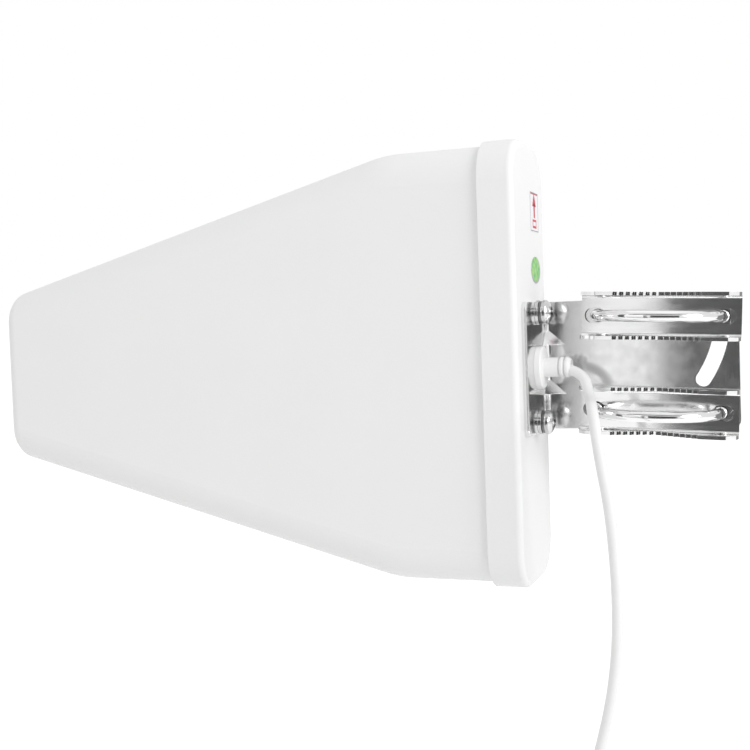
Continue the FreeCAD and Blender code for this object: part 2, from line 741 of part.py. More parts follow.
def spring_washer():
    disc = cylinder("spring_disc", "spring_radius", "spring_thickness")
    bore = cylinder("spring_bore", "thread_radius + washer_clearance", "spring_thickness + 2 * " + MARGIN,
                    ("0", "0", "-" + MARGIN))
    split = box("spring_split", ("0", "spring_radius + " + MARGIN), ("-spring_gap / 2", "spring_gap / 2"),
                ("-" + MARGIN, "spring_thickness + " + MARGIN))
    return cut("spring_washer", disc, [bore, split])


def flange_screw():
    """Pan head screw with a cross recess; the head's seat is at zero and the shank runs down."""
    drum = cylinder("screw_drum", "screw_head_radius", "screw_head_height")
    ball = primitive("Sphere", "screw_ball", ("0", "0", "screw_head_height - screw_dome"),
                     Radius="screw_dome")
    length = "head_seat - insert_end + screw_reach"
    shank = cylinder("screw_shank", "thread_radius", length, ("0", "0", "-(%s)" % length))
    deep = ("screw_head_height - recess_depth", "screw_head_height + " + MARGIN)
    across = ("-recess_length / 2", "recess_length / 2")
    narrow = ("-recess_width / 2", "recess_width / 2")
    recess = [box("recess", across, narrow, deep), box("recess", narrow, across, deep)]
    return cut("flange_screw", fuse("screw_solid", [common("screw_head", drum, ball), shank]), recess)


def pair_on_flange(name, make, x):
    """Two like fasteners at the flange's screw holes."""
    return together(name, [put(make(), x, "middle", sign + " * flange_screw_rise - bracket_drop", ALONG_X)
                           for sign in ("1", "-1")])


keep_on_antenna(pair_on_flange("screws", flange_screw, "head_seat"), "flange_screws")
keep_on_antenna(pair_on_flange("springs", spring_washer, "flange_back + washer_thickness"),
                "flange_spring_washers")
keep_on_antenna(pair_on_flange("discs", washer, "flange_back"), "flange_washers")


# Saddles: channels whose flanges have a toothed V that grips the tube.

def obround(name, x, long_way, short_way):
    """Cutter for a slot in a saddle's web, with round ends."""
    deep = ("web_face - " + MARGIN, "saddle_back + " + MARGIN)
    flat = "(%s - %s) / 2" % (long_way, short_way)
    pieces = [box(name + "_middle", ("%s - %s" % (x, flat), "%s + %s" % (x, flat)), deep,
                  ("-%s / 2" % short_way, "%s / 2" % short_way))]
    for sign in ("-1", "1"):
        pieces.append(cylinder(name + "_end", short_way + " / 2", "saddle_sheet + 2 * " + MARGIN,
                               ("%s + %s * %s" % (x, sign, flat), deep[0], "0"), ALONG_Y))
    return fuse(name, pieces)


def saddle(name):
    channel = body(name + "_channel")
    half = "saddle_height / 2"
    inner = "(saddle_height / 2 - saddle_sheet)"
    profile = [("saddle_front", "-" + half), ("saddle_back", "-" + half), ("saddle_back", half),
               ("saddle_front", half), ("saddle_front", inner), ("web_face", inner),
               ("web_face", "-" + inner), ("saddle_front", "-" + inner)]
    pad(channel, outline(channel, "YZ_Plane", profile, ("0", "0", "saddle_shift")), "saddle_length", True)
    back = size("saddle_back")
    web = size("web_face")
    front = size("saddle_front")
    end = size("saddle_length") / 2
    shift = size("saddle_shift")
    round_edges(channel, "saddle_bend", lambda at, along: near(abs(along.x), 1) and near(at.y, back))
    round_edges(channel, "saddle_bend - saddle_sheet",
                lambda at, along: near(abs(along.x), 1) and near(at.y, web))
    round_edges(channel, "saddle_corner", lambda at, along: (
        near(abs(along.z), 1) and near(at.y, front) and near(abs(at.x - shift), end)))
    reach = "vee_half_width * (vee_depth + %s) / vee_depth" % MARGIN
    tall = "saddle_height / 2 + " + MARGIN
    vee = primitive("Wedge", name + "_vee", Xmin="-(%s)" % reach, Xmax=reach, X2min="0", X2max="0",
                    Ymin="saddle_front - " + MARGIN, Ymax="vee_bottom",
                    Zmin="-(%s)" % tall, Zmax=tall, Z2min="-(%s)" % tall, Z2max=tall)
    cutters = [vee]
    for sign in ("-1", "1"):
        cutters.append(obround(name + "_slot", sign + " * saddle_slot_spacing / 2",
                               "saddle_slot_length", "saddle_slot_height"))
    lean = "atan(vee_half_width / vee_depth)"
    for number in range(int(size("teeth_per_side"))):
        share = "%s / teeth_per_side" % (number + 0.5)
        for sign, angle in (("1", lean), ("-1", "180deg - " + lean)):
            notch = primitive("Prism", name + "_notch", (
                "%s * vee_half_width * %s" % (sign, share),
                "vee_bottom - vee_depth * %s" % share,
                "-saddle_height / 2 - " + MARGIN), Rotation(Vector(0, 0, 1), 1),
                Circumradius="tooth_depth", Height="saddle_height + 2 * " + MARGIN)
            notch.Polygon = 4
            notch.setExpression("Placement.Rotation.Angle", spelled(angle))
            cutters.append(notch)
    return cut(name, channel, cutters)


def u_bolt(name):
    bow = primitive("Torus", name + "_bow", ("0", "bow_centre", "0"), Rotation(Vector(0, 0, 1), 180),
                    Radius1="leg_spacing / 2", Radius2="rod_radius")
    bow.Angle3 = 180
    pieces = [bow]
    for sign in ("-1", "1"):
        x = sign + " * leg_spacing / 2"
        pieces.append(cylinder(name + "_leg", "rod_radius", "thread_start - bow_centre",
                               (x, "bow_centre", "0"), ALONG_Y))
        pieces.append(cylinder(name + "_thread", "thread_radius", "leg_end - thread_chamfer - thread_start",
                               (x, "thread_start", "0"), ALONG_Y))
        pieces.append(primitive("Cone", name + "_tip", (x, "leg_end - thread_chamfer", "0"), ALONG_Y,
                                Radius1="thread_radius", Radius2="thread_radius - thread_chamfer",
                                Height="thread_chamfer"))
    return fuse(name, pieces)


def nut():
    prism = primitive("Prism", "nut_prism", Circumradius="nut_flats / 2 / cos(30)", Height="nut_height")
    prism.Polygon = 6
    ball = primitive("Sphere", "nut_ball", ("0", "0", "nut_height / 2"), Radius="nut_rounding")
    bore = cylinder("nut_bore", "bolt_hole", "nut_height + 2 * " + MARGIN, ("0", "0", "-" + MARGIN))
    return cut("nut", common("nut_blank", prism, ball), [bore])


for side, sign in (("upper", "1"), ("lower", "-1")):
    keep(put(saddle(side + "_channel_saddle"), z=sign + " * bolt_rise"), side + "_saddle")
for side, sign in (("upper", "1"), ("lower", "-1")):
    keep(put(u_bolt(side + "_bolt"), z=sign + " * bolt_rise"), side + "_u_bolt")

bolt_ends = [(side, "%s * leg_spacing / 2" % x, "%s * bolt_rise" % z)
             for side, x, z in (("upper_left", "-1", "1"), ("upper_right", "1", "1"),
                                ("lower_left", "-1", "-1"), ("lower_right", "1", "-1"))]
for side, x, z in bolt_ends:
    keep(put(nut(), x, "nut_seat", z, ALONG_Y), side + "_nut")
keep(together("bolt_springs", [put(spring_washer(), x, "spring_seat", z, ALONG_Y)
                               for side, x, z in bolt_ends]), "u_bolt_spring_washers")
keep(together("bolt_washers", [put(washer(), x, "bracket_back", z, ALONG_Y)
                               for side, x, z in bolt_ends]), "u_bolt_washers")


# Lead: it leaves the gland, turns down past the lower U-bolt and hangs to its connector.

def tube_along(name, points, radius):
    """A tube along straight runs joined by tangent arcs, each as large as its two runs allow."""
    edges = []
    start = points[0]
    for before, at, after in zip(points[:-2], points[1:-1], points[2:]):
        come = at - before
        leave = after - at
        trim = 0.45 * min(come.Length, leave.Length)
        come.normalize()
        leave.normalize()
        half_turn = come.getAngle(leave) / 2
        bend = trim / math.tan(half_turn)
        enter = at - come * trim
        exit_point = at + leave * trim
        inward = (leave - come).normalize()
        halfway = at + inward * (bend / math.cos(half_turn) - bend)
        edges.append(Part.LineSegment(start, enter).toShape())
        edges.append(Part.Arc(enter, halfway, exit_point).toShape())
        start = exit_point
        print("%s: run %.1f, turn %.1f degrees, radius %.1f"
              % (name, (at - before).Length, math.degrees(2 * half_turn), bend))
    edges.append(Part.LineSegment(start, points[-1]).toShape())
    path = Part.Wire(edges)
    ring = Part.Wire(Part.makeCircle(radius, points[0], points[1] - points[0]))
    item = doc.addObject("Part::Feature", name)
    item.Shape = path.makePipeShell([ring], True, False)
    expected = math.pi * radius * radius * path.Length
    print("%s: length %.1f, volume %.1f of %.1f expected" % (name, path.Length, item.Shape.Volume, expected))
    return item


exit_point = Vector(size("disc_face"), size("middle"), -size("bracket_drop"))
lead_points = [
    exit_point,
    exit_point + Vector(size("exit_run"), 0, 0),
    Vector(2.0, -18.4, -40.5),
    Vector(7.2, -47.0, -39.1),
    Vector(11.3, -54.1, -61.1),
    Vector(15.5, -52.3, -87.8),
    Vector(17.4, -51.0, -128.4),
    Vector(14.1, -45.8, -162.3),
    Vector(6.4, -43.4, -195.4),
    Vector(-3.2, -41.9, -226.4),
]
keep_on_antenna(tube_along("lead", lead_points, size("lead_radius")), "cable")

boom_axis = Vector(0, size("middle") + size("boom_offset"), -size("housing_drop"))
coax_points = [
    exit_point,
    exit_point - Vector(size("inner_run"), 0, 0),
    boom_axis + Vector(size("plate_rear") + size("boom_entry"), 0, 0),
    boom_axis + Vector(size("boom_front"), 0, 0),
]
keep_on_antenna(tube_along("coax", coax_points, size("lead_radius")), "feed_coax")


# Connector on the end of the lead: a ferrule, a threaded body, its insulator and the contact.

def turned(name, profile):
    """A round piece about its own Z axis, from the radius and height of each corner."""
    item = body(name)
    revolve(item, outline(item, "XZ_Plane", profile), "V_Axis")
    return item


def keep_on_lead(item, label):
    """Set a piece of the connector on the end of the lead, in line with it."""
    tilt = Placement(Vector(-size("leg_spacing") / 2, 0, size("bolt_rise")),
                     Rotation(Vector(0, -1, 0), size("rest_tilt")))
    in_line = Rotation(Vector(0, 0, 1), lead_points[-1] - lead_points[-2])
    item.Placement = tilt.multiply(Placement(lead_points[-1], in_line))
    return keep(item, label)


rear = "ferrule_length"
collar_start = "ferrule_length + connector_neck_length"
thread_start_z = collar_start + " + connector_collar_length"
front = thread_start_z + " + connector_thread_length"
cavity = "connector_thread_radius - connector_wall"
ferrule = turned("ferrule", [("0", "0"), ("ferrule_radius", "0"), ("ferrule_radius", rear), ("0", rear)])
keep_on_lead(ferrule, "crimp_ferrule")
shell = turned("connector", [
    ("0", rear), ("connector_neck_radius", rear), ("connector_neck_radius", collar_start),
    ("connector_collar_radius", collar_start), ("connector_collar_radius", thread_start_z),
    ("connector_thread_radius", thread_start_z), ("connector_thread_radius", front),
    (cavity, front), (cavity, thread_start_z), ("0", thread_start_z)])
keep_on_lead(shell, "connector_body")
step = thread_start_z + " + insulator_step"
insulator_end = thread_start_z + " + insulator_length"
insulator = turned("insulator", [
    ("contact_radius", thread_start_z), (cavity, thread_start_z), (cavity, step),
    ("insulator_nose_radius", step), ("insulator_nose_radius", insulator_end),
    ("contact_radius", insulator_end)])
keep_on_lead(insulator, "connector_insulator")
contact_end = insulator_end + " + contact_reach"
contact = turned("contact", [
    ("0", thread_start_z), ("contact_radius", thread_start_z), ("contact_radius", contact_end),
    ("contact_bore", contact_end), ("contact_bore", insulator_end), ("0", insulator_end)])
keep_on_lead(contact, "connector_contact")

doc.recompute()
for item in doc.Objects:
    faults = [state for state in item.State if state in ("Invalid", "Error")]
    if faults:
        raise ValueError("%s is %s" % (item.Label, faults))
for item in nodes:
    if item.Shape.isNull() or not item.Shape.isValid() or not item.Shape.Solids:
        raise ValueError(item.Label + " has no valid solid")
os.makedirs("parts", exist_ok=True)
for item in nodes:
    item.Shape.exportStep(os.path.join("parts", item.Label + ".step"))
    print("%-24s %2d solid(s) %12.1f mm3" % (item.Label, len(item.Shape.Solids), item.Shape.Volume))
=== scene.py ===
import math

import bpy
from mathutils import Matrix, Vector


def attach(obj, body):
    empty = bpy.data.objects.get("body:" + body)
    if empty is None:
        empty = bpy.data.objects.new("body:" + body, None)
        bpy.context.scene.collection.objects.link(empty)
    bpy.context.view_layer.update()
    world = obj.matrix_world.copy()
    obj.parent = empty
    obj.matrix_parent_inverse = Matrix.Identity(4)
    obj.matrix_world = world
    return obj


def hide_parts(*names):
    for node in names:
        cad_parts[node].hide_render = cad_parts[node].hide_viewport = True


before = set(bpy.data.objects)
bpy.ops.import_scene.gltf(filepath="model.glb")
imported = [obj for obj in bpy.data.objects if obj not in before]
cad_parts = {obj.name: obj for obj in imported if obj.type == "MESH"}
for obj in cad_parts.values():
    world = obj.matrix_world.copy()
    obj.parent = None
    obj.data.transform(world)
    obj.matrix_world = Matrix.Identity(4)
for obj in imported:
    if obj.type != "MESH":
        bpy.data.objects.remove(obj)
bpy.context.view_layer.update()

# A log periodic antenna in its housing, on a tilting bracket with two U-bolts, in metres.
# The origin is the axis of the tube that the clamp grips; the antenna points along -X.

scene = bpy.context.scene
scene.view_settings.view_transform = "Standard"
bpy.ops.object.select_all(action="DESELECT")


# Studio. A camera with a long lens looks at the clamp from its open side, a little from the
# right; the object hangs over a white floor in a white room, under large soft lamps. Grey
# flags stand where the steel mirrors them.

PHOTO_WIDTH = 750
FOCAL_LENGTH = 1148              # in pixels of the photograph
SENSOR = 36.0
CAMERA_PLACE = Vector((0.067, -0.54986, 0.0276))
CAMERA_TURN = math.radians(20.6)
CAMERA_DIP = math.radians(3.5)
CAMERA_ROLL = math.radians(0.3)

ahead = Vector((-math.sin(CAMERA_TURN) * math.cos(CAMERA_DIP),
                math.cos(CAMERA_TURN) * math.cos(CAMERA_DIP), -math.sin(CAMERA_DIP)))
level = Vector((math.cos(CAMERA_TURN), math.sin(CAMERA_TURN), 0))
upright = level.cross(ahead)
across = level * math.cos(CAMERA_ROLL) + upright * math.sin(CAMERA_ROLL)
upward = upright * math.cos(CAMERA_ROLL) - level * math.sin(CAMERA_ROLL)

camera_data = bpy.data.cameras.new("camera")
camera_data.sensor_width = SENSOR
camera_data.lens = FOCAL_LENGTH * SENSOR / PHOTO_WIDTH
camera_data.clip_start = 0.05
camera_data.clip_end = 100
camera = bpy.data.objects.new("camera", camera_data)
scene.collection.objects.link(camera)
camera.matrix_world = Matrix.Translation(CAMERA_PLACE) @ Matrix(
    (across, upward, -ahead)).transposed().to_4x4()
scene.camera = camera

ROOM_LIGHT = 0.72
FLOOR_HEIGHT = -0.42
FLOOR_SPAN = 60.0
FLOOR_GLOW = 0.45
LAMP_AIM = Vector((-0.1, 0, 0))


def add_node(tree, kind, **inputs):
    """A shader node with its inputs set by name, spaces written as underscores."""
    node = tree.nodes.new(kind)
    for name, value in inputs.items():
        node.inputs[name.replace("_", " ")].default_value = value
    return node


def seen_or_lit(tree, lit, seen):
    """One shader for the camera, reflections and glass, and another for what only lights."""
    path = add_node(tree, "ShaderNodeLightPath")
    share = path.outputs["Is Camera Ray"]
    for ray in ("Is Glossy Ray", "Is Transmission Ray"):
        either = add_node(tree, "ShaderNodeMath")
        either.operation = "MAXIMUM"
        tree.links.new(share, either.inputs[0])
        tree.links.new(path.outputs[ray], either.inputs[1])
        share = either.outputs[0]
    mix = add_node(tree, "ShaderNodeMixShader")
    tree.links.new(share, mix.inputs["Fac"])
    tree.links.new(lit, mix.inputs[1])
    tree.links.new(seen, mix.inputs[2])
    return mix.outputs[0]


world = bpy.data.worlds.new("white room")
world.use_nodes = True
scene.world = world
room = world.node_tree
light = room.nodes["Background"]
light.inputs["Color"].default_value = (1, 1, 1, 1)
light.inputs["Strength"].default_value = ROOM_LIGHT
white = add_node(room, "ShaderNodeBackground", Color=(1, 1, 1, 1), Strength=1.0)
shown = seen_or_lit(room, light.outputs[0], white.outputs[0])
room.links.new(shown, room.nodes["World Output"].inputs["Surface"])

bpy.ops.mesh.primitive_plane_add(size=FLOOR_SPAN, location=(0, 0, FLOOR_HEIGHT))
floor = bpy.context.object
floor.name = "floor"
pale = bpy.data.materials.new("white floor")
pale.use_nodes = True
tree = pale.node_tree
paint = tree.nodes["Principled BSDF"]
paint.inputs["Base Color"].default_value = (0.9, 0.9, 0.9, 1)
paint.inputs["Roughness"].default_value = 0.9
paint.inputs["Specular IOR Level"].default_value = 0.0
glow = add_node(tree, "ShaderNodeEmission", Color=(1, 1, 1, 1), Strength=FLOOR_GLOW)
lifted = add_node(tree, "ShaderNodeAddShader")
tree.links.new(paint.outputs[0], lifted.inputs[0])
tree.links.new(glow.outputs[0], lifted.inputs[1])
shown = seen_or_lit(tree, paint.outputs[0], lifted.outputs[0])
tree.links.new(shown, tree.nodes["Material Output"].inputs["Surface"])
floor.data.materials.append(pale)

# Name, place, width, height and power of each lamp.
LAMPS = {
    "key lamp": ((1.9, -0.8, 0.9), 1.4, 1.4, 24.0),
    "fill lamp": ((-1.3, -1.7, 0.9), 1.6, 1.6, 3.0),
    "top lamp": ((0.0, 0.4, 1.9), 1.8, 1.8, 3.0),
}
for name, (place, wide, tall, power) in LAMPS.items():
    lamp_data = bpy.data.lights.new(name, "AREA")
    lamp_data.shape = "RECTANGLE"
    lamp_data.size = wide
    lamp_data.size_y = tall
    lamp_data.energy = power
    lamp = bpy.data.objects.new(name, lamp_data)
    scene.collection.objects.link(lamp)
    lamp.location = place
    lamp.rotation_euler = (LAMP_AIM - Vector(place)).to_track_quat("-Z", "Y").to_euler()

# Name, place, width, height and grey of each flag, which only reflections see.
FLAGS = {
    "side flag": ((0.385, -1.0, 0.0), 1.0, 0.7, 0.1),
    "high flag": ((0.1, -1.0, 0.85), 2.4, 0.45, 0.16),
    "low flag": ((0.1, -0.7, -0.34), 1.8, 0.13, 0.16),
    "far flag": ((-1.0, -0.6, 0.1), 0.5, 1.0, 0.16),
    "near flag": ((-0.272, -1.0, 0.19), 0.1, 0.5, 0.42),
    "near low flag": ((-0.272, -1.0, -0.27), 0.1, 0.42, 0.2),
    "bend flag": ((0.2, -0.139, 0.18), 0.12, 0.16, 0.7),
    "back flag": ((0.55, 0.6, -0.1), 0.9, 0.6, 0.3),
}
for name, (place, wide, tall, grey) in FLAGS.items():
    cloth = bpy.data.materials.new(name)
    cloth.use_nodes = True
    tree = cloth.node_tree
    dim = add_node(tree, "ShaderNodeEmission", Color=(1, 1, 1, 1), Strength=grey)
    tree.links.new(dim.outputs[0], tree.nodes["Material Output"].inputs["Surface"])
    bpy.ops.mesh.primitive_plane_add(size=1, location=place, rotation=(math.radians(90), 0, 0))
    flag = bpy.context.object
    flag.name = name
    flag.scale = (wide, tall, 1)
    flag.visible_camera = False
    flag.visible_diffuse = False
    flag.visible_shadow = False
    flag.visible_transmission = False
    flag.data.materials.append(cloth)


# Lead. A white coaxial lead 5 mm thick leaves the gland, turns down past the lower U-bolt and
# hangs to its connector.

LEAD_POINTS = (
    (-0.05122, -0.00170, -0.00217),
    (-0.03304, -0.00170, -0.00138),
    (-0.02574, -0.01840, -0.01737),
    (-0.02060, -0.04700, -0.01575),
    (-0.01555, -0.05410, -0.03755),
    (-0.01018, -0.05230, -0.06404),
    (-0.00652, -0.05100, -0.10452),
    (-0.00833, -0.04580, -0.13853),
    (-0.01458, -0.04340, -0.17193),
    (-0.02282, -0.04190, -0.20332),
)
LEAD_RADIUS = 0.0025

line = bpy.data.curves.new("lead", "CURVE")
line.dimensions = "3D"
spline = line.splines.new("NURBS")
spline.points.add(len(LEAD_POINTS) - 1)
for point, place in zip(spline.points, LEAD_POINTS):
    point.co = (*place, 1)
spline.order_u = 3
spline.use_endpoint_u = True
spline.resolution_u = 24
line.bevel_depth = LEAD_RADIUS
line.bevel_resolution = 8
line.use_fill_caps = True
lead = bpy.data.objects.new("lead", line)
scene.collection.objects.link(lead)


def plain_finish(name, color, roughness, metallic=0.0, specular=0.5):
    """A new material, its node tree and its surface shader."""
    material = bpy.data.materials.new(name)
    material.use_nodes = True
    shader = material.node_tree.nodes["Principled BSDF"]
    shader.inputs["Base Color"].default_value = color
    shader.inputs["Roughness"].default_value = roughness
    shader.inputs["Metallic"].default_value = metallic
    shader.inputs["Specular IOR Level"].default_value = specular
    return material, material.node_tree, shader


def grain(tree, scale, detail=3.0, stretch=(1, 1, 1)):
    """Noise through the piece, from 0 to 1, stretched along the axes."""
    place = add_node(tree, "ShaderNodeTexCoord")
    mapping = add_node(tree, "ShaderNodeMapping", Scale=stretch)
    tree.links.new(place.outputs["Object"], mapping.inputs["Vector"])
    noise = add_node(tree, "ShaderNodeTexNoise", Scale=scale, Detail=detail)
    tree.links.new(mapping.outputs[0], noise.inputs["Vector"])
    return noise.outputs["Fac"]


NOISE_LOW = 0.3                  # nearly all of a noise lies between these
NOISE_HIGH = 0.7


def spread(tree, value, low, high):
    """The middle of a noise brought to a range."""
    change = add_node(tree, "ShaderNodeMapRange", From_Min=NOISE_LOW, From_Max=NOISE_HIGH,
                      To_Min=low, To_Max=high)
    tree.links.new(value, change.inputs["Value"])
    return change.outputs["Result"]


def raise_surface(tree, shader, height, distance, strength=1.0):
    """Bump the surface by a height from 0 to 1."""
    bump = add_node(tree, "ShaderNodeBump", Strength=strength, Distance=distance)
    tree.links.new(height, bump.inputs["Height"])
    tree.links.new(bump.outputs[0], shader.inputs["Normal"])


def shade_between(tree, shader, value, dark, light):
    """Colour the surface between two colours."""
    mix = add_node(tree, "ShaderNodeMix")
    mix.data_type = "RGBA"
    for socket in mix.inputs:
        if socket.type == "RGBA":
            socket.default_value = dark if socket.name == "A" else light
    tree.links.new(value, mix.inputs["Factor"])
    result = next(socket for socket in mix.outputs if socket.type == "RGBA")
    tree.links.new(result, shader.inputs["Base Color"])


jacket, tree, surface = plain_finish("white jacket", (0.86, 0.86, 0.86, 1), 0.4, specular=0.35)
tree.links.new(spread(tree, grain(tree, 400), 0.38, 0.5), surface.inputs["Roughness"])
shade_between(tree, surface, grain(tree, 60), (0.82, 0.82, 0.82, 1), (0.87, 0.87, 0.87, 1))
raise_surface(tree, surface, grain(tree, 900), 0.0002, 0.2)
lead.data.materials.append(jacket)


def dress(names, material):
    """Give a finish to CAD nodes whose shape is right."""
    for name in names:
        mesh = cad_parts[name].data
        mesh.materials.clear()
        mesh.materials.append(material)


def only(piece):
    """Select one piece alone and make it active."""
    bpy.ops.object.select_all(action="DESELECT")
    bpy.context.view_layer.objects.active = piece
    piece.select_set(True)


def softened(name, node, body, material, width, segments=2, smooth=50):
    """A welded copy of a CAD node with its sharp edges rounded, which takes the node's place."""
    piece = bpy.data.objects.new(name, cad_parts[node].data.copy())
    scene.collection.objects.link(piece)
    only(piece)
    bpy.ops.object.mode_set(mode="EDIT")
    bpy.ops.mesh.select_all(action="SELECT")
    bpy.ops.mesh.remove_doubles(threshold=2e-6)
    bpy.ops.mesh.dissolve_limited(angle_limit=math.radians(0.3))
    bpy.ops.object.mode_set(mode="OBJECT")
    bpy.ops.object.shade_smooth()
    rounding = piece.modifiers.new("rounded edges", "BEVEL")
    rounding.width = width
    rounding.segments = segments
    rounding.limit_method = "ANGLE"
    rounding.angle_limit = math.radians(30)
    bpy.ops.object.modifier_apply(modifier=rounding.name)
    bpy.ops.object.shade_smooth_by_angle(angle=math.radians(smooth))
    flats = piece.modifiers.new("flat faces", "WEIGHTED_NORMAL")
    flats.keep_sharp = True
    bpy.ops.object.modifier_apply(modifier=flats.name)
    piece.data.materials.clear()
    piece.data.materials.append(material)
    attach(piece, body)
    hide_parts(node)
    return piece


nickel, tree, surface = plain_finish("nickel plate", (0.62, 0.6, 0.56, 1), 0.22, 1.0)
tree.links.new(spread(tree, grain(tree, 700), 0.16, 0.3), surface.inputs["Roughness"])
raise_surface(tree, surface, grain(tree, 1200), 0.0002, 0.2)
sleeve = softened("crimp_sleeve", "crimp_ferrule", "antenna", nickel, 0.0003)

# Distance from the lead's end and radius of each ring of the connector's outline.
CONNECTOR_NECK = ((0.0120, 0.0048), (0.0123, 0.0052), (0.0168, 0.0052), (0.0170, 0.0081),
                  (0.0175, 0.0086), (0.0190, 0.0086), (0.0193, 0.0082), (0.0207, 0.0082),
                  (0.0210, 0.0086), (0.0225, 0.0086), (0.0230, 0.0081), (0.0231, 0.0072))
CONNECTOR_RIM = ((0.0368, 0.0072), (0.0370, 0.0070), (0.0370, 0.0065), (0.0368, 0.0063),
                 (0.0230, 0.0063))
CONNECTOR_THREAD_START = 0.0234
CONNECTOR_CREST = 0.0079
CONNECTOR_ROOT = 0.0072
CONNECTOR_PITCH = 0.00106
CONNECTOR_FLANK = 0.0004
CONNECTOR_FLAT = 0.00012
CONNECTOR_TURNS = 12

rings = list(CONNECTOR_NECK)
for turn in range(CONNECTOR_TURNS):
    foot = CONNECTOR_THREAD_START + turn * CONNECTOR_PITCH
    crest = foot + CONNECTOR_FLANK
    rings += [(foot, CONNECTOR_ROOT), (crest, CONNECTOR_CREST),
              (crest + CONNECTOR_FLAT, CONNECTOR_CREST),
              (crest + CONNECTOR_FLAT + CONNECTOR_FLANK, CONNECTOR_ROOT)]
rings += CONNECTOR_RIM
first, radius = rings[0]
bpy.ops.object.select_all(action="DESELECT")
bpy.ops.mesh.primitive_circle_add(vertices=64, radius=radius, fill_type="NGON",
                                  location=(0, 0, first))
connector = bpy.context.object
connector.name = "threaded_connector"
bpy.ops.object.transform_apply(location=True)
bpy.ops.object.mode_set(mode="EDIT")
bpy.ops.mesh.select_all(action="SELECT")
for (low, small), (high, large) in zip(rings, rings[1:]):
    bpy.ops.mesh.extrude_region_move(TRANSFORM_OT_translate={"value": (0, 0, high - low)})
    bpy.ops.transform.resize(value=(large / small, large / small, 1), center_override=(0, 0, high))
bpy.ops.mesh.select_all(action="SELECT")
bpy.ops.mesh.normals_make_consistent(inside=False)
bpy.ops.object.mode_set(mode="OBJECT")
bpy.ops.object.shade_smooth_by_angle(angle=math.radians(30))
lead_end = Vector(LEAD_POINTS[-1])
hang = (lead_end - Vector(LEAD_POINTS[-2])).to_track_quat("Z", "Y").to_matrix().to_4x4()
connector.data.transform(Matrix.Translation(lead_end) @ hang)
connector.data.materials.append(nickel)
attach(connector, "antenna")
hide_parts("connector_body")
insulator, tree, surface = plain_finish("insulator", (0.82, 0.82, 0.8, 1), 0.5)
tree.links.new(spread(tree, grain(tree, 900), 0.45, 0.6), surface.inputs["Roughness"])
dress(["connector_insulator"], insulator)
gold, tree, surface = plain_finish("gold plate", (0.9, 0.62, 0.22, 1), 0.2, 1.0)
tree.links.new(spread(tree, grain(tree, 900), 0.15, 0.3), surface.inputs["Roughness"])
dress(["connector_contact"], gold)

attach(lead, "antenna")
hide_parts("cable")


# Antenna inside the housing. Two square aluminium booms carry ten pairs of rods, held apart by
# black plastic spacers and joined by a plate at the rear; the feed lead runs inside one boom.

aluminium, tree, surface = plain_finish("mill aluminium", (0.72, 0.73, 0.74, 1), 0.35, 1.0)
drawn = spread(tree, grain(tree, 300, stretch=(0.1, 1, 1)), 0.28, 0.45)
tree.links.new(drawn, surface.inputs["Roughness"])
rods = [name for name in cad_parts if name.startswith("dipole_")]
dress(rods + ["near_boom", "far_boom", "rear_short_plate"], aluminium)
black, tree, surface = plain_finish("black moulding", (0.03, 0.03, 0.03, 1), 0.5)
tree.links.new(spread(tree, grain(tree, 600), 0.4, 0.6), surface.inputs["Roughness"])
dress(["boom_spacers"], black)
foam, tree, surface = plain_finish("grey foam", (0.1, 0.1, 0.105, 1), 0.9)
raise_surface(tree, surface, grain(tree, 1500), 0.0004)
dress(["nose_pad"], foam)
brass, tree, surface = plain_finish("brass", (0.75, 0.55, 0.22, 1), 0.3, 1.0)
tree.links.new(spread(tree, grain(tree, 600), 0.25, 0.4), surface.inputs["Roughness"])
dress(["feed_link", "threaded_inserts"], brass)
dress(["feed_coax"], jacket)


# Housing. The shell and its cap are moulded in smooth white plastic that stands the weather;
# the cap's skirt grips the shell's rear end over a pale seal.

plastic, tree, surface = plain_finish("white housing", (0.86, 0.86, 0.86, 1), 0.45, specular=0.3)
shade_between(tree, surface, grain(tree, 25), (0.845, 0.845, 0.845, 1), (0.87, 0.87, 0.87, 1))
tree.links.new(spread(tree, grain(tree, 260), 0.42, 0.54), surface.inputs["Roughness"])
raise_surface(tree, surface, grain(tree, 900), 0.0001, 0.25)
dress(["radome_shell", "rear_cap"], plastic)
seal, tree, surface = plain_finish("pale rubber", (0.55, 0.55, 0.55, 1), 0.7)
raise_surface(tree, surface, grain(tree, 900), 0.0002, 0.3)
dress(["cap_seal"], seal)


# Gland. A moulded white gland holds the lead in the cap: a wide disc, a barrel and two ribs that
# let it bend.

ivory, tree, surface = plain_finish("white gland", (0.88, 0.88, 0.88, 1), 0.5, specular=0.3)
shade_between(tree, surface, grain(tree, 120), (0.86, 0.86, 0.86, 1), (0.9, 0.9, 0.9, 1))
raise_surface(tree, surface, grain(tree, 1200), 0.0001, 0.3)
softened("gland", "cable_gland", "antenna", ivory, 0.0003)


# Labels. A printed label with a thin border and an arrow that points up, and an oval sticker of
# green foil, both stuck on the cap's back.

TILT = math.radians(2.5)
PIVOT = Vector((-0.0295, 0, 0.023))
CAP_FACE = -0.0285
LABEL_MIDDLE_Y = 0.0093
LABEL_MIDDLE_Z = 0.0517
OVAL_WIDTH = 0.0172
OVAL_HEIGHT = 0.0121
OVAL_MIDDLE_Y = 0.0085
OVAL_MIDDLE_Z = 0.0237
on_antenna = Matrix.Translation(PIVOT) @ Matrix.Rotation(TILT, 4, (0, -1, 0))
INK_LIFT = 0.00021
INK_THICKNESS = 0.00003

